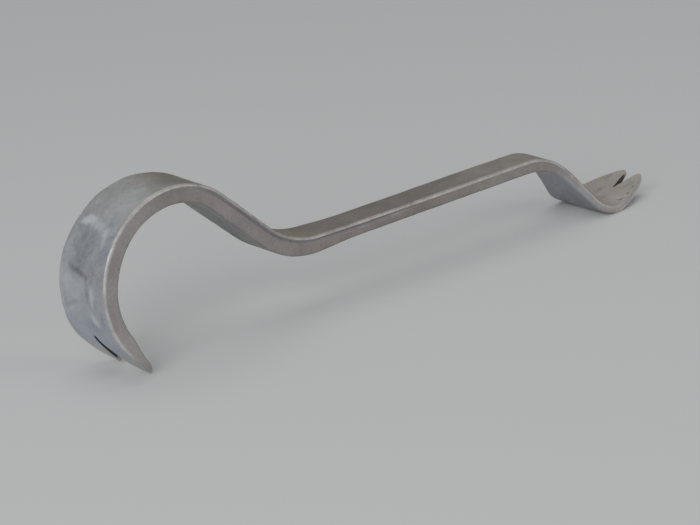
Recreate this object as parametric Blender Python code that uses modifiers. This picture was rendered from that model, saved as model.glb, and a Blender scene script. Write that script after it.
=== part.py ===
"""Gooseneck hive tool: one forged steel bar with a nail-slotted claw at each end.

A flat shank runs between a round hook, whose wide end is slit into two pointed
tines, and a short fishtail claw with a V notch.  The tool stands on the hook's
tines and the claw's heel.  +X runs from the hook to the claw, +Y across the
bar, +Z up; the origin is under the middle of the tool, on the floor.
"""

import math
from collections import namedtuple

import bmesh
import bpy
import numpy as np

# ---------------------------------------------------------------- dimensions
# Metres and degrees.  The centre line starts at the hook's tips, and a
# positive turn bends it to the left of the way it runs.

HOOK_TIP_RADIUS = 0.072
HOOK_TIP_TURN = -19.0
HOOK_RADIUS = 0.0351
HOOK_TURN = -160.2
NECK_LENGTH = 0.0317
LOWER_BEND_RADIUS = 0.0416
LOWER_BEND_TURN = 43.7
SHANK_ROOT_LENGTH = 0.0265
SHANK_FLAT_LENGTH = 0.0920
CREST_RADIUS = 0.0270
CREST_TURN = -52.6
SLOPE_LENGTH = 0.0164
HEEL_RADIUS = 0.0158
HEEL_TURN = 68.4
CLAW_LENGTH = 0.0211
HOOK_TIP_HEADING = 135.4        # of the centre line's start, with the shank level

SHANK_WIDTH = 0.0160
SHANK_THICKNESS = 0.0060
HOOK_WIDTH = 0.0372             # across the tines' shoulders
HOOK_TIP_SPAN = 0.0232          # across the tines' points
HOOK_THICKNESS = 0.0076
NECK_WIDTH = 0.0236
NECK_THICKNESS = 0.0084
HEEL_WIDTH = 0.0336
CLAW_TIP_SPAN = 0.0120
CLAW_THICKNESS = 0.0041
HOOK_TIP_THICKNESS = 0.0021
CLAW_TIP_THICKNESS = 0.0018
EDGE_RADIUS = 0.0011            # of the bar's four long edges

HOOK_SLOT_LENGTH = 0.0240
HOOK_SLOT_WIDTH = 0.0108        # at the shoulders of the tines
HOOK_SLOT_END_RADIUS = 0.0013
HOOK_TINE_BEVEL = 0.0080        # length over which a tine's inner side runs to its point
CLAW_NOTCH_LENGTH = 0.0146
CLAW_NOTCH_WIDTH = 0.0074
CLAW_NOTCH_END_RADIUS = 0.0003
CLAW_TINE_BEVEL = 0.0018

TINE_POINT_WIDTH = 0.0020       # of a hook tine's point
CLAW_POINT_WIDTH = 0.0019       # of a claw tine's blunt end

EDGE_STEPS = 3                  # facets around each rounded edge
STATION_GAP = 0.0045            # between cross-sections, at most
STATION_TURN = 6.0              # degrees between cross-sections, at most
ROUNDING = 1e-7                 # lengths below this are nothing

# ---------------------------------------------------------------- centre line
Run = namedtuple("Run", "name length turn whole")


def bend(name, radius, turn):
    """A round bend of the bar, by its centre line's radius and angle."""
    return Run(name, radius * math.radians(abs(turn)), turn, False)


def straight(name, length, whole=False):
    """A straight run; a whole one has cross-sections at its ends only."""
    return Run(name, length, 0.0, whole)


RUNS = (
    bend("hook_tip", HOOK_TIP_RADIUS, HOOK_TIP_TURN),
    bend("hook", HOOK_RADIUS, HOOK_TURN),
    straight("neck", NECK_LENGTH),
    bend("lower_bend", LOWER_BEND_RADIUS, LOWER_BEND_TURN),
    straight("shank_root", SHANK_ROOT_LENGTH),
    straight("shank_flat", SHANK_FLAT_LENGTH, whole=True),
    bend("crest", CREST_RADIUS, CREST_TURN),
    straight("slope", SLOPE_LENGTH),
    bend("heel", HEEL_RADIUS, HEEL_TURN),
    straight("claw", CLAW_LENGTH),
)


def run_starts():
    """Distance along the centre line at which each run starts, by name."""
    starts = {}
    distance = 0.0
    for run in RUNS:
        starts[run.name] = distance
        distance += run.length
    starts["end"] = distance
    return starts


AT = run_starts()
TOTAL_LENGTH = AT["end"]


def smooth(stations, values, distance):
    """Monotone cubic through the stations' values: no bulge between them."""
    steps = np.diff(stations)
    slopes = np.diff(values) / steps
    tangents = np.zeros(len(values))
    for i in range(1, len(values) - 1):
        if slopes[i - 1] * slopes[i] > 0:
            tangents[i] = 2 * slopes[i - 1] * slopes[i] / (slopes[i - 1] + slopes[i])
    tangents[0] = slopes[0]
    tangents[-1] = slopes[-1]
    i = int(np.clip(np.searchsorted(stations, distance) - 1, 0, len(steps) - 1))
    t = (distance - stations[i]) / steps[i]
    start = values[i] * (1 + 2 * t) + tangents[i] * steps[i] * t
    end = values[i + 1] * (3 - 2 * t) - tangents[i + 1] * steps[i] * (1 - t)
    return start * (1 - t) ** 2 + end * t ** 2


# Each line: distance along the centre line, full width there.
WIDTHS = (
    (0.0, HOOK_TIP_SPAN),
    (0.15 * AT["hook"], 0.80 * HOOK_WIDTH),
    (0.35 * AT["hook"], 0.95 * HOOK_WIDTH),
    (0.70 * AT["hook"], HOOK_WIDTH),
    (1.20 * AT["hook"], 0.94 * HOOK_WIDTH),
    (0.50 * (AT["hook"] + AT["neck"]), 0.80 * HOOK_WIDTH),
    (AT["neck"], NECK_WIDTH + 0.0010),
    (AT["neck"] + 0.4 * NECK_LENGTH, NECK_WIDTH),
    (AT["lower_bend"] + 0.3 * LOWER_BEND_RADIUS, 0.5 * (NECK_WIDTH + SHANK_WIDTH)),
    (AT["shank_flat"], SHANK_WIDTH),
    (AT["crest"], SHANK_WIDTH),
    (AT["crest"] + 0.6 * CREST_RADIUS, 1.10 * SHANK_WIDTH),
    (AT["slope"] + 0.3 * SLOPE_LENGTH, 0.70 * HEEL_WIDTH),
    (AT["heel"], 0.91 * HEEL_WIDTH),
    (0.5 * (AT["heel"] + AT["claw"]), HEEL_WIDTH),
    (AT["claw"], 0.945 * HEEL_WIDTH),
    (AT["claw"] + 0.40 * CLAW_LENGTH, 0.785 * HEEL_WIDTH),
    (AT["claw"] + 0.67 * CLAW_LENGTH, 0.64 * HEEL_WIDTH),
    (AT["claw"] + 0.90 * CLAW_LENGTH, 0.47 * HEEL_WIDTH),
    (TOTAL_LENGTH, CLAW_TIP_SPAN),
)
# Each line: distance along the centre line, full thickness there.
THICKNESSES = (
    (0.0, HOOK_TIP_THICKNESS),
    (0.25 * AT["hook"], 0.42 * HOOK_THICKNESS),
    (0.5 * AT["hook"], 0.55 * HOOK_THICKNESS),
    (AT["hook"], 0.87 * HOOK_THICKNESS),
    (0.5 * (AT["hook"] + AT["neck"]), HOOK_THICKNESS),
    (AT["neck"], 1.07 * HOOK_THICKNESS),
    (AT["lower_bend"] + 0.3 * LOWER_BEND_RADIUS, NECK_THICKNESS),
    (AT["shank_flat"], SHANK_THICKNESS),
    (AT["crest"], SHANK_THICKNESS),
    (AT["slope"], 0.5 * (SHANK_THICKNESS + CLAW_THICKNESS)),
    (AT["heel"], CLAW_THICKNESS),
    (AT["claw"] + 0.3 * CLAW_LENGTH, 0.92 * CLAW_THICKNESS),
    (TOTAL_LENGTH, CLAW_TIP_THICKNESS),
)


def half_width(distance):
    stations, widths = zip(*WIDTHS)
    return 0.5 * smooth(stations, widths, distance)


def half_thickness(distance):
    stations, thicknesses = zip(*THICKNESSES)
    return 0.5 * smooth(stations, thicknesses, distance)


def slot_half_width(from_tip, length, width, end_radius, bevel, point_width, bar_half):
    """Half of a V slot's width: round at its blind end, flared at the tips."""
    depth = length - from_tip
    if depth < ROUNDING:
        return 0.0
    if depth < end_radius:
        return math.sqrt(depth * (2 * end_radius - depth))
    rise = (depth - end_radius) / (length - end_radius)
    half = end_radius + rise * (0.5 * width - end_radius)
    if from_tip < bevel:
        flare = 1 - math.sqrt(1 - (1 - from_tip / bevel) ** 2)
        half += flare * (bar_half - point_width - 0.5 * width)
    return half


def slot(distance):
    """Half of the gap between the tines at a distance along the bar."""
    bar_half = half_width(distance)
    if distance < HOOK_SLOT_LENGTH:
        return slot_half_width(distance, HOOK_SLOT_LENGTH, HOOK_SLOT_WIDTH,
                               HOOK_SLOT_END_RADIUS, HOOK_TINE_BEVEL,
                               TINE_POINT_WIDTH, bar_half)
    return slot_half_width(TOTAL_LENGTH - distance, CLAW_NOTCH_LENGTH, CLAW_NOTCH_WIDTH,
                           CLAW_NOTCH_END_RADIUS, CLAW_TINE_BEVEL,
                           CLAW_POINT_WIDTH, bar_half)


def station_distances():
    """Distances of the cross-sections: closer in bends and at the slots."""
    distances = {TOTAL_LENGTH}
    for run in RUNS:
        start = AT[run.name]
        steps = max(math.ceil(run.length / STATION_GAP),
                    math.ceil(abs(run.turn) / STATION_TURN))
        if run.whole:
            steps = 1
        distances.update(start + run.length * i / steps for i in range(steps))
    for share in (0.25, 0.6, 1.0, 1.6, 3.0, 5.0):
        distances.add(HOOK_TINE_BEVEL * share / 5)
    for share in (0.0, 0.3, 1.0, 2.0):
        distances.add(HOOK_SLOT_LENGTH - HOOK_SLOT_END_RADIUS * share)
    for share in (0.0, 1.0):
        distances.add(TOTAL_LENGTH - CLAW_NOTCH_LENGTH + CLAW_NOTCH_END_RADIUS * share)
    for share in (0.3, 1.0):
        distances.add(TOTAL_LENGTH - CLAW_TINE_BEVEL * share)
    return sorted(distances)


def centre_point(distance):
    """Point (x, z) and heading of the centre line, before it is set down."""
    x = 0.0
    z = 0.0
    heading = math.radians(HOOK_TIP_HEADING)
    for run in RUNS:
        length = min(run.length, distance - AT[run.name])
        if length <= 0:
            break
        turn = math.radians(run.turn) * length / run.length
        chord = length if turn == 0 else length * math.sin(turn / 2) / (turn / 2)
        x += chord * math.cos(heading + turn / 2)
        z += chord * math.sin(heading + turn / 2)
        heading += turn
    return x, z, heading


# ---------------------------------------------------------------- the bar
def half_section(distance):
    """Points (across, up) of half a cross-section, from its top middle down."""
    half = half_width(distance)
    thick = half_thickness(distance)
    inner = slot(distance)
    radius = min(EDGE_RADIUS, 0.6 * thick, 0.45 * (half - inner))
    points = [(inner, thick)]
    for step in range(EDGE_STEPS + 1):
        angle = math.pi / 2 * (1 - step / EDGE_STEPS)
        points.append((half - radius + radius * math.cos(angle),
                       thick - radius + radius * math.sin(angle)))
    points += [(across, -up) for across, up in reversed(points)]
    return points


def set_down(rings):
    """Turn and shift the rings so that the tool stands level, centred on X."""
    points = np.array(rings)
    for _ in range(8):
        left = points[points[:, :, 0] < points[:, :, 0].mean()]
        right = points[points[:, :, 0] >= points[:, :, 0].mean()]
        low_left = left[left[:, 2].argmin()]
        low_right = right[right[:, 2].argmin()]
        rise = low_right - low_left
        angle = -math.atan2(rise[2], rise[0])
        x = points[:, :, 0] * math.cos(angle) - points[:, :, 2] * math.sin(angle)
        z = points[:, :, 0] * math.sin(angle) + points[:, :, 2] * math.cos(angle)
        points[:, :, 0] = x
        points[:, :, 2] = z
    points[:, :, 0] -= 0.5 * (points[:, :, 0].min() + points[:, :, 0].max())
    points[:, :, 2] -= points[:, :, 2].min()
    return points


def bar_rings(distances):
    """Half cross-sections of the bar along its centre line, in world places."""
    rings = []
    for distance in distances:
        x, z, heading = centre_point(distance)
        side_x = -math.sin(heading)
        side_z = math.cos(heading)
        rings.append([(x + up * side_x, across, z + up * side_z)
                      for across, up in half_section(distance)])
    return set_down(rings)


def half_bar_mesh(name):
    """The bar's half at +Y, lofted along the centre line and open at the plane Y = 0."""
    distances = station_distances()
    rings = bar_rings(distances)
    gaps = [slot(distance) for distance in distances]
    mesh = bmesh.new()
    verts = [[mesh.verts.new(point) for point in ring] for ring in rings]
    for i in range(len(verts) - 1):
        first = verts[i]
        second = verts[i + 1]
        for j in range(len(first) - 1):
            mesh.faces.new((first[j], second[j], second[j + 1], first[j + 1]))
        if gaps[i] + gaps[i + 1] > 0:
            mesh.faces.new((first[-1], second[-1], second[0], first[0]))
    mesh.faces.new(verts[0])
    mesh.faces.new(list(reversed(verts[-1])))
    data = bpy.data.meshes.new(name)
    mesh.to_mesh(data)
    mesh.free()
    return data


def steel():
    """Dull forged steel."""
    material = bpy.data.materials.new("forged_steel")
    material.use_nodes = True
    shader = material.node_tree.nodes["Principled BSDF"]
    shader.inputs["Base Color"].default_value = (0.27, 0.27, 0.265, 1.0)
    shader.inputs["Metallic"].default_value = 1.0
    shader.inputs["Roughness"].default_value = 0.48
    return material


def main():
    for old in list(bpy.data.objects):
        bpy.data.objects.remove(old, do_unlink=True)
    collection = bpy.data.collections.new("hive_tool")
    bpy.context.scene.collection.children.link(collection)

    bar = bpy.data.objects.new("forged_bar", half_bar_mesh("forged_bar"))
    collection.objects.link(bar)
    bar.data.materials.append(steel())
    bar.data.shade_smooth()
    bar.data.set_sharp_from_angle(angle=math.radians(35))
    mirror = bar.modifiers.new("other_half", "MIRROR")
    mirror.use_axis = (False, True, False)
    mirror.merge_threshold = 0.00005


main()
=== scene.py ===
"""The looks of the gooseneck hive tool: one worn, forged steel bar.

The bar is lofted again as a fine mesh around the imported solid's own centre
line, with the lip, dents, nicks and uneven edges of a hand-forged tool.
"""

import math
from collections import namedtuple

import bmesh
import bpy
import numpy as np
from mathutils import Matrix, Vector, noise


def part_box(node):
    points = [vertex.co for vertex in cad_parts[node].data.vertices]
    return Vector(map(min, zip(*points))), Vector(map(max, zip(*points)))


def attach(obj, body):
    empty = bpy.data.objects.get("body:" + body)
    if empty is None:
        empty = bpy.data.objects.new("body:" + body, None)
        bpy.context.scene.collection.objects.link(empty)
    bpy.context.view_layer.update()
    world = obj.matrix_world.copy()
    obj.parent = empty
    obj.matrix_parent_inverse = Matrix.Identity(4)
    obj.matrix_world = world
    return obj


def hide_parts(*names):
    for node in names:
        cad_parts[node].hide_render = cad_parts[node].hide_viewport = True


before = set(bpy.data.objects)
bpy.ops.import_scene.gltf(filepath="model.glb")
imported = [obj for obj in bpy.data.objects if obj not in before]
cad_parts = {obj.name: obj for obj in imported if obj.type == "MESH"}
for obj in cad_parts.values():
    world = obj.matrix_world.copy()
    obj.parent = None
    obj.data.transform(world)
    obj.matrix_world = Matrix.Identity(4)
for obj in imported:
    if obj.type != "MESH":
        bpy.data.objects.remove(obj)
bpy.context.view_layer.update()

# ---------------------------------------------------------------- the bar's form
# The same driving dimensions as the solid's, in metres and degrees.

HOOK_TIP_RADIUS = 0.072
HOOK_TIP_TURN = -19.0
HOOK_RADIUS = 0.0351
HOOK_TURN = -160.2
NECK_LENGTH = 0.0317
LOWER_BEND_RADIUS = 0.0416
LOWER_BEND_TURN = 43.7
SHANK_ROOT_LENGTH = 0.0265
SHANK_FLAT_LENGTH = 0.0920
CREST_RADIUS = 0.0270
CREST_TURN = -52.6
SLOPE_LENGTH = 0.0164
HEEL_RADIUS = 0.0158
HEEL_TURN = 68.4
CLAW_LENGTH = 0.0211
HOOK_TIP_HEADING = 135.4
REST_TILT = 1.0403               # of the level shank, once the tool stands

SHANK_WIDTH = 0.0160
SHANK_THICKNESS = 0.0060
HOOK_WIDTH = 0.0372
HOOK_TIP_SPAN = 0.0232
HOOK_THICKNESS = 0.0076
NECK_WIDTH = 0.0236
NECK_THICKNESS = 0.0084
HEEL_WIDTH = 0.0336
CLAW_TIP_SPAN = 0.0120
CLAW_THICKNESS = 0.0041
HOOK_TIP_THICKNESS = 0.0021
CLAW_TIP_THICKNESS = 0.0018
EDGE_RADIUS = 0.0011

HOOK_SLOT_LENGTH = 0.0240
HOOK_SLOT_WIDTH = 0.0108
HOOK_SLOT_END_RADIUS = 0.0013
HOOK_TINE_BEVEL = 0.0080
CLAW_NOTCH_LENGTH = 0.0146
CLAW_NOTCH_WIDTH = 0.0074
CLAW_NOTCH_END_RADIUS = 0.0003
CLAW_TINE_BEVEL = 0.0018
TINE_POINT_WIDTH = 0.0020
CLAW_POINT_WIDTH = 0.0019

Run = namedtuple("Run", "name length turn")


def bend(name, radius, turn):
    """A round bend of the bar, by its centre line's radius and angle."""
    return Run(name, radius * math.radians(abs(turn)), turn)


def straight(name, length):
    return Run(name, length, 0.0)


RUNS = (
    bend("hook_tip", HOOK_TIP_RADIUS, HOOK_TIP_TURN),
    bend("hook", HOOK_RADIUS, HOOK_TURN),
    straight("neck", NECK_LENGTH),
    bend("lower_bend", LOWER_BEND_RADIUS, LOWER_BEND_TURN),
    straight("shank_root", SHANK_ROOT_LENGTH),
    straight("shank_flat", SHANK_FLAT_LENGTH),
    bend("crest", CREST_RADIUS, CREST_TURN),
    straight("slope", SLOPE_LENGTH),
    bend("heel", HEEL_RADIUS, HEEL_TURN),
    straight("claw", CLAW_LENGTH),
)


def run_starts():
    """Distance along the centre line at which each run starts, by name."""
    starts = {}
    distance = 0.0
    for run in RUNS:
        starts[run.name] = distance
        distance += run.length
    starts["end"] = distance
    return starts


AT = run_starts()
TOTAL_LENGTH = AT["end"]


def smooth(stations, values, distance):
    """Monotone cubic through the stations' values: no bulge between them."""
    steps = np.diff(stations)
    slopes = np.diff(values) / steps
    tangents = np.zeros(len(values))
    for i in range(1, len(values) - 1):
        if slopes[i - 1] * slopes[i] > 0:
            tangents[i] = 2 * slopes[i - 1] * slopes[i] / (slopes[i - 1] + slopes[i])
    tangents[0] = slopes[0]
    tangents[-1] = slopes[-1]
    i = int(np.clip(np.searchsorted(stations, distance) - 1, 0, len(steps) - 1))
    t = (distance - stations[i]) / steps[i]
    start = values[i] * (1 + 2 * t) + tangents[i] * steps[i] * t
    end = values[i + 1] * (3 - 2 * t) - tangents[i + 1] * steps[i] * (1 - t)
    return start * (1 - t) ** 2 + end * t ** 2


# Each line: distance along the centre line, full width there.
WIDTHS = (
    (0.0, HOOK_TIP_SPAN),
    (0.15 * AT["hook"], 0.80 * HOOK_WIDTH),
    (0.35 * AT["hook"], 0.95 * HOOK_WIDTH),
    (0.70 * AT["hook"], HOOK_WIDTH),
    (1.20 * AT["hook"], 0.94 * HOOK_WIDTH),
    (0.50 * (AT["hook"] + AT["neck"]), 0.80 * HOOK_WIDTH),
    (AT["neck"], NECK_WIDTH + 0.0010),
    (AT["neck"] + 0.4 * NECK_LENGTH, NECK_WIDTH),
    (AT["lower_bend"] + 0.3 * LOWER_BEND_RADIUS, 0.5 * (NECK_WIDTH + SHANK_WIDTH)),
    (AT["shank_flat"], SHANK_WIDTH),
    (AT["crest"], SHANK_WIDTH),
    (AT["crest"] + 0.6 * CREST_RADIUS, 1.10 * SHANK_WIDTH),
    (AT["slope"] + 0.3 * SLOPE_LENGTH, 0.70 * HEEL_WIDTH),
    (AT["heel"], 0.91 * HEEL_WIDTH),
    (0.5 * (AT["heel"] + AT["claw"]), HEEL_WIDTH),
    (AT["claw"], 0.945 * HEEL_WIDTH),
    (AT["claw"] + 0.40 * CLAW_LENGTH, 0.785 * HEEL_WIDTH),
    (AT["claw"] + 0.67 * CLAW_LENGTH, 0.64 * HEEL_WIDTH),
    (AT["claw"] + 0.90 * CLAW_LENGTH, 0.47 * HEEL_WIDTH),
    (TOTAL_LENGTH, CLAW_TIP_SPAN),
)
# Each line: distance along the centre line, full thickness there.
THICKNESSES = (
    (0.0, HOOK_TIP_THICKNESS),
    (0.25 * AT["hook"], 0.42 * HOOK_THICKNESS),
    (0.5 * AT["hook"], 0.55 * HOOK_THICKNESS),
    (AT["hook"], 0.87 * HOOK_THICKNESS),
    (0.5 * (AT["hook"] + AT["neck"]), HOOK_THICKNESS),
    (AT["neck"], 1.07 * HOOK_THICKNESS),
    (AT["lower_bend"] + 0.3 * LOWER_BEND_RADIUS, NECK_THICKNESS),
    (AT["shank_flat"], SHANK_THICKNESS),
    (AT["crest"], SHANK_THICKNESS),
    (AT["slope"], 0.5 * (SHANK_THICKNESS + CLAW_THICKNESS)),
    (AT["heel"], CLAW_THICKNESS),
    (AT["claw"] + 0.3 * CLAW_LENGTH, 0.92 * CLAW_THICKNESS),
    (TOTAL_LENGTH, CLAW_TIP_THICKNESS),
)


def half_width(distance):
    stations, widths = zip(*WIDTHS)
    return 0.5 * smooth(stations, widths, distance)


def half_thickness(distance):
    stations, thicknesses = zip(*THICKNESSES)
    return 0.5 * smooth(stations, thicknesses, distance)


def slot_half_width(from_tip, length, width, end_radius, bevel, point_width, bar_half):
    """Half of a V slot's width: round at its blind end, flared at the tips."""
    depth = length - from_tip
    if depth < 1e-7:
        return 0.0
    if depth < end_radius:
        return math.sqrt(depth * (2 * end_radius - depth))
    rise = (depth - end_radius) / (length - end_radius)
    half = end_radius + rise * (0.5 * width - end_radius)
    if from_tip < bevel:
        flare = 1 - math.sqrt(1 - (1 - from_tip / bevel) ** 2)
        half += flare * (bar_half - point_width - 0.5 * width)
    return half


def slot(distance):
    """Half of the gap between the tines at a distance along the bar."""
    bar_half = half_width(distance)
    if distance < HOOK_SLOT_LENGTH:
        return slot_half_width(distance, HOOK_SLOT_LENGTH, HOOK_SLOT_WIDTH,
                               HOOK_SLOT_END_RADIUS, HOOK_TINE_BEVEL,
                               TINE_POINT_WIDTH, bar_half)
    return slot_half_width(TOTAL_LENGTH - distance, CLAW_NOTCH_LENGTH, CLAW_NOTCH_WIDTH,
                           CLAW_NOTCH_END_RADIUS, CLAW_TINE_BEVEL,
                           CLAW_POINT_WIDTH, bar_half)


def centre_point(distance):
    """Point (x, z) and heading of the centre line, before it is set down."""
    x = 0.0
    z = 0.0
    heading = math.radians(HOOK_TIP_HEADING + REST_TILT)
    for run in RUNS:
        length = min(run.length, distance - AT[run.name])
        if length <= 0:
            break
        turn = math.radians(run.turn) * length / run.length
        chord = length if turn == 0 else length * math.sin(turn / 2) / (turn / 2)
        x += chord * math.cos(heading + turn / 2)
        z += chord * math.sin(heading + turn / 2)
        heading += turn
    return x, z, heading


# ---------------------------------------------------------------- the fine mesh
STATION_GAP = 0.0007
CORNER_STEPS = 5
FLAT_STEPS = 22                 # across half of the bar's top or underside
SIDE_STEPS = 16
WALL_STEPS = 3                  # on a slot's wall, between its edges
LIP_DEPTH = 0.00055             # of the hollow below the side's upper edge
LIP_HEIGHT = 0.0018             # from the top face down to the hollow's middle
LIP_SPREAD = 0.0006
LIP_RISE = (AT["neck"] - 0.022, AT["neck"] - 0.002)
LIP_FALL = (AT["shank_flat"] + 0.002, AT["shank_flat"] + 0.035)
CREASE_SHADE_TONE = -1.2              # painted shade in the hollow below the upper edge
EDGE_REACH = 0.0011             # how far the wear and painted highlight of an edge reach
TIP_EDGES = (0.004, 0.026)      # where the edges' wear and painted highlight set in behind the tine points
SLOPE_EDGES = (AT["crest"] + 0.012, AT["slope"] + 0.006)
CLAW_EDGES = (AT["heel"] + 0.006, AT["claw"])
TINE_WALL_SHADE_FADE = 0.009         # the painted shade on the slots' walls fades out at the tips
CLAW_WALL_SHADE_FADE = 0.006
# share of the painted wall shade left at the claw notch's tips
CLAW_TIP_WALL_SHADE = 0.2
HOOK_SLOT_SHIFT = 0.0008        # of the slot off the bar's middle line
CLAW_NOTCH_SHIFT = -0.0022


def fade(value, start, end):
    """0 at start, 1 at end, smooth between them."""
    t = min(max((value - start) / (end - start), 0.0), 1.0)
    return t * t * (3 - 2 * t)


def lip_strength(distance):
    """The side's hollow runs from the hook's crown to the middle of the shank."""
    return fade(distance, *LIP_RISE) * (1 - fade(distance, *LIP_FALL))


def half_section(distance):
    """Points (across, up) of half a cross-section, from its top middle down."""
    half = half_width(distance)
    thick = half_thickness(distance)
    inner = slot(distance)
    radius = min(EDGE_RADIUS, 0.6 * thick, 0.45 * (half - inner))
    points = []
    for step in range(FLAT_STEPS):
        share = step / FLAT_STEPS
        points.append((inner + (half - radius - inner) * share, thick))
    for step in range(CORNER_STEPS + 1):
        angle = math.pi / 2 * (1 - step / CORNER_STEPS)
        points.append((half - radius + radius * math.cos(angle),
                       thick - radius + radius * math.sin(angle)))
    for step in range(1, SIDE_STEPS // 2 + 1):
        share = step / (SIDE_STEPS // 2)
        points.append((half, (thick - radius) * (1 - share)))
    lower = [(across, -up) for across, up in reversed(points[:-1])]
    lip = LIP_DEPTH * lip_strength(distance)
    section = []
    for across, up in points + lower:
        below_top = thick - up
        hollow = lip * math.exp(-((below_top - LIP_HEIGHT) / LIP_SPREAD) ** 2)
        if across < half - 1.5 * radius:
            hollow = 0.0
        section.append((across - hollow, up))
    for step in range(WALL_STEPS):
        share = 0.85 * (2 * step / (WALL_STEPS - 1) - 1)
        section.append((inner, share * thick))
    return section


def edge_wear_and_highlight(distance, from_side, up, thick):
    """1 on the upper long edges, and on the claw's lower ones, fading away: worn edges with a
    painted highlight.
    """
    claw = fade(distance, *CLAW_EDGES)
    slope = fade(distance, *SLOPE_EDGES)
    reach = EDGE_REACH * (1 + 0.8 * slope * (1 - claw))
    upper = math.exp(-(from_side ** 2 + (thick - up) ** 2) / reach ** 2)
    lower = math.exp(-(from_side ** 2 + (thick + up) ** 2) / (1.5 * EDGE_REACH) ** 2)
    upper *= (1 - 0.45 * slope) * fade(distance, *TIP_EDGES)
    return max(upper, lower * claw)


def slot_wall_shade(distance):
    """How much painted shade a slot's walls get: less towards the tips."""
    hook = fade(distance, 0.0, TINE_WALL_SHADE_FADE)
    claw = fade(TOTAL_LENGTH - distance, 0.0, CLAW_WALL_SHADE_FADE)
    return hook * (CLAW_TIP_WALL_SHADE + (1 - CLAW_TIP_WALL_SHADE) * claw)


def slot_shift(distance, across, half):
    """How far a point slides sideways: the slots sit a little off the middle."""
    shift = HOOK_SLOT_SHIFT * (1 - fade(distance, HOOK_SLOT_LENGTH, 1.5 * HOOK_SLOT_LENGTH))
    notch = TOTAL_LENGTH - CLAW_NOTCH_LENGTH
    notch_shift = CLAW_NOTCH_SHIFT * fade(distance, notch - 0.5 * CLAW_NOTCH_LENGTH, notch)
    shift += notch_shift * min(1.0, (TOTAL_LENGTH - distance) / CLAW_NOTCH_LENGTH)
    inner = slot(distance)
    return shift * (1 - max(abs(across) - inner, 0.0) / (half - inner))


def station_distances():
    """Where the rings lie: evenly spaced, and closer where a slot's outline bends."""
    count = math.ceil(TOTAL_LENGTH / STATION_GAP)
    distances = {TOTAL_LENGTH * i / count for i in range(count + 1)}
    for share in (0.02, 0.08, 0.2, 0.4, 0.7, 1.0, 1.5):
        distances.add(HOOK_TINE_BEVEL * share / 5)
    for share in (0.0, 0.1, 0.3, 0.6, 1.0):
        distances.add(HOOK_SLOT_LENGTH - HOOK_SLOT_END_RADIUS * share)
    for share in (0.0, 1.0):
        distances.add(TOTAL_LENGTH - CLAW_NOTCH_LENGTH + CLAW_NOTCH_END_RADIUS * share)
    for share in (0.05, 0.15, 0.3, 0.6, 1.0):
        distances.add(TOTAL_LENGTH - CLAW_TINE_BEVEL * share)
    return sorted(distances)


def bar_mesh():
    """Both halves of the bar, welded on the plane Y = 0, as a bmesh.

    Layers keep each point's place on the bar: the distance along it, how far
    up it lies between the underside and the top (-1 to 1), how far out
    towards the side (0 to 1), how much worn edge and painted edge highlight
    it gets, and how much painted shade it gets as part of a slot's wall.
    """
    distances = station_distances()
    mesh = bmesh.new()
    along = mesh.verts.layers.float.new("along")
    up_layer = mesh.verts.layers.float.new("up")
    side_layer = mesh.verts.layers.float.new("side")
    edge_layer = mesh.verts.layers.float.new("edge")
    wall = mesh.verts.layers.float.new("wall")
    rings = []
    for distance in distances:
        x, z, heading = centre_point(distance)
        half = half_width(distance)
        thick = half_thickness(distance)
        ring = []
        for across, up in half_section(distance):
            vert = mesh.verts.new((x - up * math.sin(heading), across,
                                   z + up * math.cos(heading)))
            vert[along] = distance
            vert[up_layer] = up / thick
            vert[side_layer] = across / half
            vert[edge_layer] = edge_wear_and_highlight(distance, half - across, up, thick)
            ring.append(vert)
        # The slots' walls get painted shade.
        for vert in ring[-WALL_STEPS:]:
            vert[wall] = slot_wall_shade(distance)
        rings.append(ring)
    gaps = [slot(distance) for distance in distances]
    for i in range(len(rings) - 1):
        first = rings[i]
        second = rings[i + 1]
        slotted = gaps[i] + gaps[i + 1] > 0
        for j in range(len(first) if slotted else len(first) - WALL_STEPS - 1):
            k = (j + 1) % len(first)
            mesh.faces.new((first[j], second[j], second[k], first[k]))
    mesh.faces.new(rings[0])
    mesh.faces.new(list(reversed(rings[-1])))
    unused = [vert for vert in mesh.verts if not vert.link_faces]
    bmesh.ops.delete(mesh, geom=unused, context="VERTS")
    one_side = mesh.verts[:] + mesh.edges[:] + mesh.faces[:]
    copy = bmesh.ops.duplicate(mesh, geom=one_side)["geom"]
    copied = [item for item in copy if isinstance(item, bmesh.types.BMVert)]
    for vert in copied:
        vert.co.y = -vert.co.y
    faces = [item for item in copy if isinstance(item, bmesh.types.BMFace)]
    bmesh.ops.reverse_faces(mesh, faces=faces)
    middle = [vert for vert in mesh.verts if abs(vert.co.y) < 1e-7]
    bmesh.ops.remove_doubles(mesh, verts=middle, dist=1e-6)
    for vert in mesh.verts:
        distance = min(vert[along], TOTAL_LENGTH)
        vert.co.y += slot_shift(distance, vert.co.y, half_width(distance))
    return mesh


def set_down(mesh):
    """Shift the standing bar into the frame's box."""
    low = Vector((min(v.co[i] for v in mesh.verts) for i in range(3)))
    high = Vector((max(v.co[i] for v in mesh.verts) for i in range(3)))
    node_low, node_high = (Vector(corner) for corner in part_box("forged_bar"))
    shift = Vector((0.5 * (node_low.x + node_high.x - low.x - high.x), 0.0,
                    node_low.z - low.z))
    for vert in mesh.verts:
        vert.co += shift


# ---------------------------------------------------------------- wear
Mark = namedtuple("Mark", "along across length width turn depth tone")
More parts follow.
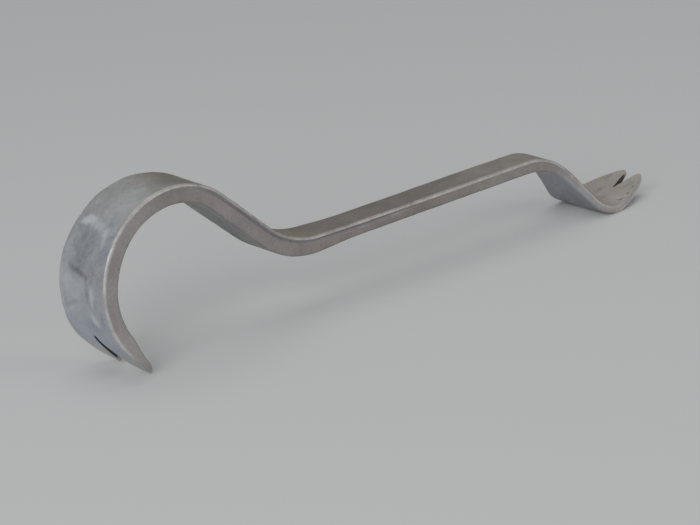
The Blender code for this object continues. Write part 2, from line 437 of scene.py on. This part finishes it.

# Dents, scars and stains of the top face, with painted shade in dents and
# painted highlight on raised rims: places along and across the bar,
# half-lengths and half-widths, the turn of the long way, the depth, and the
# tone from -1 (dark) to 1 (bare and pale).
CLAW_END = TOTAL_LENGTH
TOP_MARKS = (
    Mark(0.0605, 0.0015, 0.0095, 0.0080, 10, 0.00022, -0.22),
    Mark(0.0650, 0.0050, 0.0040, 0.0024, 15, 0.00010, -0.30),
    Mark(0.0502, 0.0022, 0.0014, 0.0064, -11, 0.00036, -0.95),
    Mark(0.0535, 0.0030, 0.0026, 0.0050, -8, 0.00010, -0.20),
    Mark(0.0575, -0.0010, 0.0016, 0.0040, 30, 0.00012, -0.30),
    Mark(0.0650, -0.0080, 0.0034, 0.0015, 14, -0.00016, 0.90),
    Mark(0.0695, 0.0066, 0.0018, 0.0042, 8, -0.00028, 1.50),
    Mark(0.0683, -0.0020, 0.0022, 0.0055, -12, -0.00016, 0.75),
    Mark(0.0605, 0.0120, 0.0060, 0.0022, 4, 0.0, 0.35),
    Mark(0.0475, 0.0160, 0.0180, 0.0016, 0, 0.0, 0.40),
    Mark(0.0445, -0.0035, 0.0055, 0.0013, 6, 0.00020, -0.60),
    Mark(0.0425, -0.0072, 0.0036, 0.0013, 0, -0.00018, 0.80),
    Mark(0.0370, 0.0080, 0.0010, 0.0075, 24, 0.00022, -0.50),
    Mark(0.0350, 0.0100, 0.0014, 0.0060, 24, -0.00010, 0.30),
    Mark(0.0325, -0.0068, 0.0026, 0.0020, 30, -0.00024, 0.80),
    Mark(0.0290, -0.0040, 0.0032, 0.0060, 0, 0.00014, -0.25),
    Mark(0.0345, -0.0120, 0.0030, 0.0014, 0, 0.00012, -0.45),
    Mark(0.0465, 0.0110, 0.0060, 0.0024, 0, 0.00010, 0.25),
    Mark(0.0855, 0.0070, 0.0050, 0.0060, 20, 0.00014, -0.20),
    Mark(0.0805, -0.0040, 0.0080, 0.0080, 0, 0.0, 0.25),
    Mark(0.0995, -0.0050, 0.0070, 0.0045, -15, 0.00014, -0.15),
    Mark(CLAW_END - 0.0206, -0.0128, 0.0011, 0.0010, 0, 0.00040, -1.20),
    Mark(CLAW_END - 0.0152, -0.0126, 0.0012, 0.0008, 20, 0.00036, -1.00),
    Mark(CLAW_END - 0.0098, -0.0108, 0.0013, 0.0007, 10, 0.00036, -1.00),
    Mark(CLAW_END - 0.0185, -0.0148, 0.0034, 0.0008, 25, -0.00026, 1.20),
    Mark(CLAW_END - 0.0178, 0.0036, 0.0026, 0.0014, 30, 0.00014, -0.40),
    Mark(CLAW_END - 0.0208, 0.0010, 0.0030, 0.0014, 20, -0.00012, 0.15),
    Mark(CLAW_END - 0.0120, -0.0060, 0.0046, 0.0010, -30, 0.00012, -0.30),
    Mark(CLAW_END - 0.0080, 0.0080, 0.0026, 0.0012, 15, 0.00014, -0.40),
)
WAVE_SIZE = 0.022               # of the unevenness left by forging
WAVE_DEPTH = 0.00016
HAMMER_SIZE = 0.0060
HAMMER_DEPTH = 0.00007
HOOK_FACE_DEPTH = 0.00013       # extra hammer depth on the hook's outer face
HOOK_FACE_RISE = (0.012, 0.030)
HOOK_FACE_FALL = (0.085, 0.125)
GRAIN_SIZE = 0.0016
GRAIN_DEPTH = 0.000018


def mark_strength(mark, along, across):
    """1 inside a mark of the top face, 0 well away from it, with a ragged rim."""
    turn = math.radians(mark.turn)
    u = along - mark.along
    v = across - mark.across
    a = (u * math.cos(turn) + v * math.sin(turn)) / mark.length
    b = (v * math.cos(turn) - u * math.sin(turn)) / mark.width
    ragged = 1 + 0.7 * noise.noise(Vector((along, across, mark.along)) * 450)
    return math.exp(-((a * a + b * b) * ragged) ** 2)


def hook_face(along, up):
    """1 on the hook's outer face, 0 elsewhere."""
    there = fade(along, *HOOK_FACE_RISE) * (1 - fade(along, *HOOK_FACE_FALL))
    return fade(up, 0.5, 0.95) * there


def wear(mesh):
    """Push the surface in and out: forging waves, hammer marks, dents and nicks."""
    along = mesh.verts.layers.float["along"]
    up = mesh.verts.layers.float["up"]
    side = mesh.verts.layers.float["side"]
    tone = mesh.verts.layers.float.new("tone")
    mesh.normal_update()
    moves = []
    for vert in mesh.verts:
        place = vert.co
        depth = WAVE_DEPTH * noise.noise(place / WAVE_SIZE)
        hammer = HAMMER_DEPTH + HOOK_FACE_DEPTH * hook_face(vert[along], vert[up])
        depth += hammer * noise.fractal(place / HAMMER_SIZE, 0.8, 2.0, 3)
        depth += GRAIN_DEPTH * noise.noise(place / GRAIN_SIZE)
        half_thick = half_thickness(vert[along])
        # On the sides, painted shade darkens the hollow below the upper edge.
        if vert[side] > 0.9 and vert[up] > 0:
            below_top = half_thick * (1 - vert[up])
            crease = math.exp(-((below_top - LIP_HEIGHT) / LIP_SPREAD) ** 2)
            vert[tone] += CREASE_SHADE_TONE * lip_strength(vert[along]) * crease
        # On the top, the marks dent the face and paint their tone: scars and stains, painted
        # shade in dents, painted highlight on raised rims.
        elif vert[up] > 0.5:
            for mark in TOP_MARKS:
                if abs(vert[along] - mark.along) < 3 * (mark.length + mark.width):
                    strength = mark_strength(mark, vert[along], place.y)
                    depth -= mark.depth * strength
                    vert[tone] += mark.tone * strength
        moves.append(depth)
    for vert, depth in zip(mesh.verts, moves):
        vert.co += vert.normal * depth


bar_bmesh = bar_mesh()
wear(bar_bmesh)
set_down(bar_bmesh)
data = bpy.data.meshes.new("worn_bar")
bar_bmesh.to_mesh(data)
bar_bmesh.free()
bar = bpy.data.objects.new("worn_bar", data)
bpy.context.scene.collection.objects.link(bar)
data.shade_smooth()
data.set_sharp_from_angle(angle=math.radians(50))


# ---------------------------------------------------------------- steel
# Bare and patinated steel, with painted shade and highlight among them, in linear red, green
# and blue.
HOOK_GREY = (0.400, 0.420, 0.450)
HOOK_BLUE = (0.330, 0.362, 0.408)
HOOK_PALE = (0.500, 0.530, 0.550)
HOOK_DARK = (0.330, 0.320, 0.350)
UPPER_HOOK = (0.420, 0.417, 0.402)
TIP_GREY = (0.400, 0.410, 0.390)
CROWN_BROWN = (0.300, 0.266, 0.226)
SHANK_OLIVE = (0.265, 0.240, 0.200)
BEND_YELLOW = (0.315, 0.285, 0.205)
SHANK_MAUVE = (0.275, 0.240, 0.226)
CREST_BUFF = (0.365, 0.330, 0.290)
CLAW_WARM = (0.505, 0.448, 0.405)
CLAW_YELLOW = (0.455, 0.425, 0.340)
TIP_SIDE = (0.340, 0.322, 0.312)
HOOK_SIDE = (0.272, 0.247, 0.247)
CROWN_SIDE = (0.225, 0.206, 0.198)
NECK_SIDE = (0.258, 0.230, 0.228)
ROOT_SIDE = (0.238, 0.210, 0.202)
SHANK_SIDE = (0.222, 0.196, 0.186)
CREST_SIDE = (0.252, 0.235, 0.222)
# Painted light: the claw's sides are as light as its top, where the lamps leave them dark.
CLAW_SIDE = (0.400, 0.365, 0.340)
# The underside colours are painted shade: darker than the top and sides, where little light
# reaches.
UNDER_DARK = (0.150, 0.150, 0.158)
UNDER_GREY = (0.195, 0.195, 0.205)
UNDER_BLUE = (0.300, 0.306, 0.335)
# Pale bare steel of scratches and worn edges, and also the edges' painted highlight.
EDGE_BRIGHT = (0.620, 0.590, 0.545)
# Dark: scars, and painted shade in creases and dents. Pale: bare scars, and painted highlight
# on raised rims.
DARK_SCAR_AND_SHADE = (0.185, 0.180, 0.200)
PALE_SCAR_AND_HIGHLIGHT = (0.680, 0.720, 0.740)
# Near-black painted shade on the slots' walls.
SLOT_SHADE_BLACK = (0.050, 0.052, 0.050)

# Sizes of the colours' patterns, as noise cells per metre.
BLOTCHES = 130
PATCHES = 85
FLECKS = 330
SHANK_CLOUDS = 70
CLAW_CLOUDS = 110
MOTTLE = 55
GRAIN = 1300
EDGE_PATCHES = 120
GLOSS_SPOTS = 320
PITS = 900
PIT_DEPTH = 0.00012
METALLIC = 0.55                 # the patina is partly oxide


class Nodes:
    """Short calls that add and link the nodes of one material."""

    def __init__(self, material):
        self.tree = material.node_tree

    def add(self, kind, settings=(), **inputs):
        node = self.tree.nodes.new(kind)
        for name, value in dict(settings).items():
            setattr(node, name, value)
        for name, value in inputs.items():
            self.put(node.inputs[name.replace("_", " ")], value)
        return node

    def put(self, socket, value):
        if isinstance(value, bpy.types.NodeSocket):
            self.tree.links.new(value, socket)
        elif isinstance(value, tuple) and len(value) == 3 and socket.type == "RGBA":
            socket.default_value = (*value, 1.0)
        else:
            socket.default_value = value

    def attribute(self, name):
        return self.add("ShaderNodeAttribute", {"attribute_name": name}).outputs["Fac"]

    def noise(self, place, scale, detail=4.0, roughness=0.55, distortion=0.0):
        node = self.add("ShaderNodeTexNoise", Vector=place, Scale=scale, Detail=detail,
                        Roughness=roughness, Distortion=distortion)
        return node.outputs["Fac"]

    def span(self, value, low, high, to_low=0.0, to_high=1.0):
        """value from low..high to to_low..to_high, clamped and eased."""
        node = self.add("ShaderNodeMapRange", {"interpolation_type": "SMOOTHSTEP"},
                        Value=value, From_Min=low, From_Max=high,
                        To_Min=to_low, To_Max=to_high)
        return node.outputs["Result"]

    def mix(self, factor, first, second, blend="MIX"):
        """Two colours mixed: the node's colour sockets come after its other kinds."""
        node = self.add("ShaderNodeMix", {"data_type": "RGBA", "blend_type": blend})
        self.put(node.inputs["Factor"], factor)
        self.put(node.inputs[6], first)
        self.put(node.inputs[7], second)
        return node.outputs[2]

    def math(self, operation, first, second):
        node = self.add("ShaderNodeMath", {"operation": operation})
        self.put(node.inputs[0], first)
        self.put(node.inputs[1], second)
        return node.outputs[0]

    def clamped(self, value):
        node = self.add("ShaderNodeClamp", Value=value)
        return node.outputs["Result"]

    def grey(self, value):
        node = self.add("ShaderNodeCombineColor", Red=value, Green=value, Blue=value)
        return node.outputs["Color"]

    def scaled(self, place, x, y, z):
        node = self.add("ShaderNodeMapping", Vector=place)
        node.inputs["Scale"].default_value = (x, y, z)
        return node.outputs["Vector"]


def blend_along(nodes, along, colours):
    """Colours that follow one another along the bar, from (distance, colour) pairs."""
    blended = colours[0][1]
    for before, after in zip(colours, colours[1:]):
        blended = nodes.mix(nodes.span(along, before[0], after[0]), blended, after[1])
    return blended


def top_colours(nodes, place, along):
    """The top face: a bluish hook, a brownish shank and a pale, warm claw."""
    blotch = nodes.span(nodes.noise(place, BLOTCHES, 5, 0.6, 0.6), 0.40, 0.64)
    patch = nodes.span(nodes.noise(place, PATCHES, 3, 0.5, 0.8), 0.46, 0.66)
    fleck = nodes.span(nodes.noise(place, FLECKS, 4, 0.6, 0.5), 0.56, 0.64)
    hook = nodes.mix(nodes.math("MULTIPLY", patch, 0.6), HOOK_GREY, HOOK_DARK)
    hook = nodes.mix(nodes.math("MULTIPLY", blotch, 0.55), hook, HOOK_PALE)
    hook = nodes.mix(nodes.math("MULTIPLY", fleck, 0.45), hook, HOOK_DARK)
    mauve = nodes.span(nodes.noise(place, SHANK_CLOUDS, 3), 0.42, 0.58)
    shank = nodes.mix(mauve, SHANK_OLIVE, SHANK_MAUVE)
    yellow = nodes.span(nodes.noise(place, CLAW_CLOUDS, 4), 0.44, 0.66)
    claw = nodes.mix(yellow, CLAW_WARM, CLAW_YELLOW)
    return blend_along(nodes, along, (
        (0.004, TIP_GREY), (0.018, HOOK_BLUE), (0.028, HOOK_BLUE), (0.044, hook), (0.066, hook),
        (0.080, UPPER_HOOK), (0.086, UPPER_HOOK), (0.106, CROWN_BROWN), (0.150, shank),
        (AT["lower_bend"] + 0.014, shank), (AT["lower_bend"] + 0.022, BEND_YELLOW),
        (AT["shank_root"] + 0.002, shank),
        (AT["crest"] - 0.070, shank), (AT["crest"] + 0.010, CREST_BUFF), (AT["claw"], claw)))


def side_colours(nodes, along):
    """The side faces: mauve-grey, and paler towards the claw, with painted light on the claw's
    sides.
    """
    return blend_along(nodes, along, (
        (0.010, TIP_SIDE), (0.028, HOOK_SIDE), (AT["neck"] - 0.060, HOOK_SIDE),
        (AT["neck"] - 0.020, CROWN_SIDE),
        (AT["neck"] + 0.010, NECK_SIDE), (AT["lower_bend"] + 0.010, NECK_SIDE),
        (AT["shank_root"], ROOT_SIDE), (AT["shank_flat"], ROOT_SIDE),
        (AT["shank_flat"] + 0.025, SHANK_SIDE), (AT["crest"] - 0.025, CREST_SIDE),
        (AT["slope"] + 0.010, CREST_SIDE), (AT["claw"], CLAW_SIDE)))


def steel():
    """Dull forged steel: patina in blotches, scratches along the bar, worn edges with a painted
    highlight, and painted shade underneath, in creases and in the slots.
    """
    material = bpy.data.materials.new("forged_steel")
    material.use_nodes = True
    nodes = Nodes(material)
    place = nodes.add("ShaderNodeTexCoord").outputs["Object"]
    along = nodes.attribute("along")
    up = nodes.attribute("up")
    side = nodes.attribute("side")
    tone = nodes.attribute("tone")
    on_bar = nodes.add("ShaderNodeCombineXYZ", X=along, Y=side, Z=up).outputs["Vector"]

    mottle = nodes.noise(place, MOTTLE, 5, 0.6)
    # Painted shade: the underside gets darker colours than the top.
    under = blend_along(nodes, along, (
        (AT["neck"] + 0.006, UNDER_GREY), (AT["lower_bend"], UNDER_DARK),
        (AT["shank_flat"], UNDER_DARK), (AT["slope"], UNDER_BLUE)))
    under = nodes.mix(nodes.span(mottle, 0.40, 0.62, 0.0, 0.70), under, SHANK_SIDE)
    colour = nodes.mix(nodes.span(up, -0.9, 0.9), under, top_colours(nodes, place, along))
    # Painted shade: at the slope and heel the sides darken towards their lower edge, as on a
    # rounded side.
    slope = nodes.math("MULTIPLY", nodes.span(along, AT["crest"] + 0.010, AT["slope"]),
                       nodes.span(along, AT["claw"] - 0.006, AT["claw"] + 0.002, 1.0, 0.0))
    lower_side_shade = nodes.math("MULTIPLY", slope, nodes.span(up, -0.9, 0.6, 0.8, 0.0))
    sides = nodes.mix(lower_side_shade, side_colours(nodes, along), under)
    colour = nodes.mix(nodes.span(side, 0.90, 0.985), colour, sides)

    # Tone: scars and stains, painted shade in the sides' crease and in dents, and painted
    # highlight on raised rims.
    dark = nodes.math("MULTIPLY", tone, -0.75)
    colour = nodes.mix(nodes.clamped(dark), colour, DARK_SCAR_AND_SHADE)
    colour = nodes.mix(nodes.clamped(nodes.math("MULTIPLY", tone, 0.8)), colour, PALE_SCAR_AND_HIGHLIGHT)

    grain = nodes.span(nodes.noise(place, GRAIN, 3, 0.6), 0.3, 0.7, 0.90, 1.10)
    cloud = nodes.span(mottle, 0.3, 0.7, 0.90, 1.10)
    shade = nodes.math("MULTIPLY", grain, cloud)
    colour = nodes.mix(1.0, colour, nodes.grey(shade), "MULTIPLY")
    scratch_place = nodes.scaled(on_bar, 45, 60, 60)
    scratches = nodes.span(nodes.noise(scratch_place, 6, 6, 0.7), 0.60, 0.72)
    colour = nodes.mix(nodes.math("MULTIPLY", scratches, 0.18), colour, EDGE_BRIGHT)

    # Worn edges with a painted highlight, broken up in patches.
    edge_patches = nodes.span(nodes.noise(place, EDGE_PATCHES, 4, 0.65), 0.34, 0.60, 0.30, 1.0)
    bright = nodes.math("MULTIPLY", nodes.span(nodes.attribute("edge"), 0.15, 0.75), edge_patches)
    colour = nodes.mix(nodes.math("MULTIPLY", bright, 0.8), colour, EDGE_BRIGHT)
    # Painted shade: the slots' walls are darkened near-black.
    colour = nodes.mix(nodes.span(nodes.attribute("wall"), 0.2, 0.9), colour, SLOT_SHADE_BLACK)

    rough = nodes.span(nodes.noise(place, GLOSS_SPOTS, 4, 0.6), 0.3, 0.7, 0.42, 0.60)
    rough = nodes.math("SUBTRACT", rough, nodes.math("MULTIPLY", bright, 0.12))
    pits = nodes.noise(place, PITS, 5, 0.65)
    bump = nodes.add("ShaderNodeBump", Strength=0.35, Distance=PIT_DEPTH,
                     Height=nodes.math("ADD", pits, nodes.math("MULTIPLY", scratches, -0.25)))

    shader = material.node_tree.nodes["Principled BSDF"]
    nodes.put(shader.inputs["Base Color"], colour)
    nodes.put(shader.inputs["Roughness"], rough)
    nodes.put(shader.inputs["Normal"], bump.outputs["Normal"])
    shader.inputs["Metallic"].default_value = METALLIC
    return material


data.materials.append(steel())
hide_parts("forged_bar")
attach(bar, "root")

# ---------------------------------------------------------------- stage
# The camera's place is given with the shank rising to the right, as the tool
# was held for its picture, and then tilted with it.
CAMERA_AZIMUTH = math.radians(38.78)
CAMERA_ELEVATION = math.radians(15.59)
CAMERA_TILT = math.radians(5.93)
CAMERA_DISTANCE = 1.2806
CAMERA_TARGET = Vector((-0.01549, 0.00021, 0.01262))
CAMERA_LENS = 154.3
FLOOR_SIZE = 12
FLOOR_COLOUR = (0.82, 0.82, 0.81, 1)
ROOM_COLOUR = (0.9, 0.95, 1.0, 1)
ROOM_STRENGTH = 0.25


def add_camera():
    camera = bpy.data.objects.new("camera", bpy.data.cameras.new("camera"))
    bpy.context.scene.collection.objects.link(camera)
    right = Vector((math.cos(CAMERA_AZIMUTH), -math.sin(CAMERA_AZIMUTH), 0))
    forward = Vector((math.sin(CAMERA_AZIMUTH) * math.cos(CAMERA_ELEVATION),
                      math.cos(CAMERA_AZIMUTH) * math.cos(CAMERA_ELEVATION),
                      -math.sin(CAMERA_ELEVATION)))
    up = right.cross(forward)
    turn = Matrix((right, up, -forward)).transposed().to_4x4()
    tilt = Matrix.Rotation(CAMERA_TILT, 4, "Y")
    place = tilt @ (-forward * CAMERA_DISTANCE)
    camera.matrix_world = Matrix.Translation(CAMERA_TARGET + place) @ tilt @ turn
    camera.data.lens = CAMERA_LENS
    camera.data.clip_end = 20
    bpy.context.scene.camera = camera


def add_floor():
    bpy.ops.mesh.primitive_plane_add(size=FLOOR_SIZE)
    floor = bpy.context.object
    floor.name = "floor"
    material = bpy.data.materials.new("pale_floor")
    material.use_nodes = True
    shader = material.node_tree.nodes["Principled BSDF"]
    shader.inputs["Base Color"].default_value = FLOOR_COLOUR
    shader.inputs["Roughness"].default_value = 0.9
    floor.data.materials.append(material)


def add_light(name, place, size, power, colour):
    light = bpy.data.lights.new(name, "AREA")
    light.size = size
    light.energy = power
    light.color = colour
    lamp = bpy.data.objects.new(name, light)
    lamp.location = place
    lamp.rotation_euler = (-Vector(place)).to_track_quat("-Z", "Y").to_euler()
    bpy.context.scene.collection.objects.link(lamp)


add_camera()
add_floor()
add_light("key", (-1.2, -0.7, 0.7), 0.9, 12.5, (0.97, 0.98, 1.0))
add_light("fill", (0.6, -1.4, 0.5), 1.0, 6, (1.0, 0.97, 0.94))
add_light("top", (0.0, 0.3, 1.6), 1.4, 6, (1.0, 1.0, 1.0))
world = bpy.data.worlds.new("studio")
bpy.context.scene.world = world
world.use_nodes = True
background = world.node_tree.nodes["Background"]
background.inputs["Color"].default_value = ROOM_COLOUR
background.inputs["Strength"].default_value = ROOM_STRENGTH
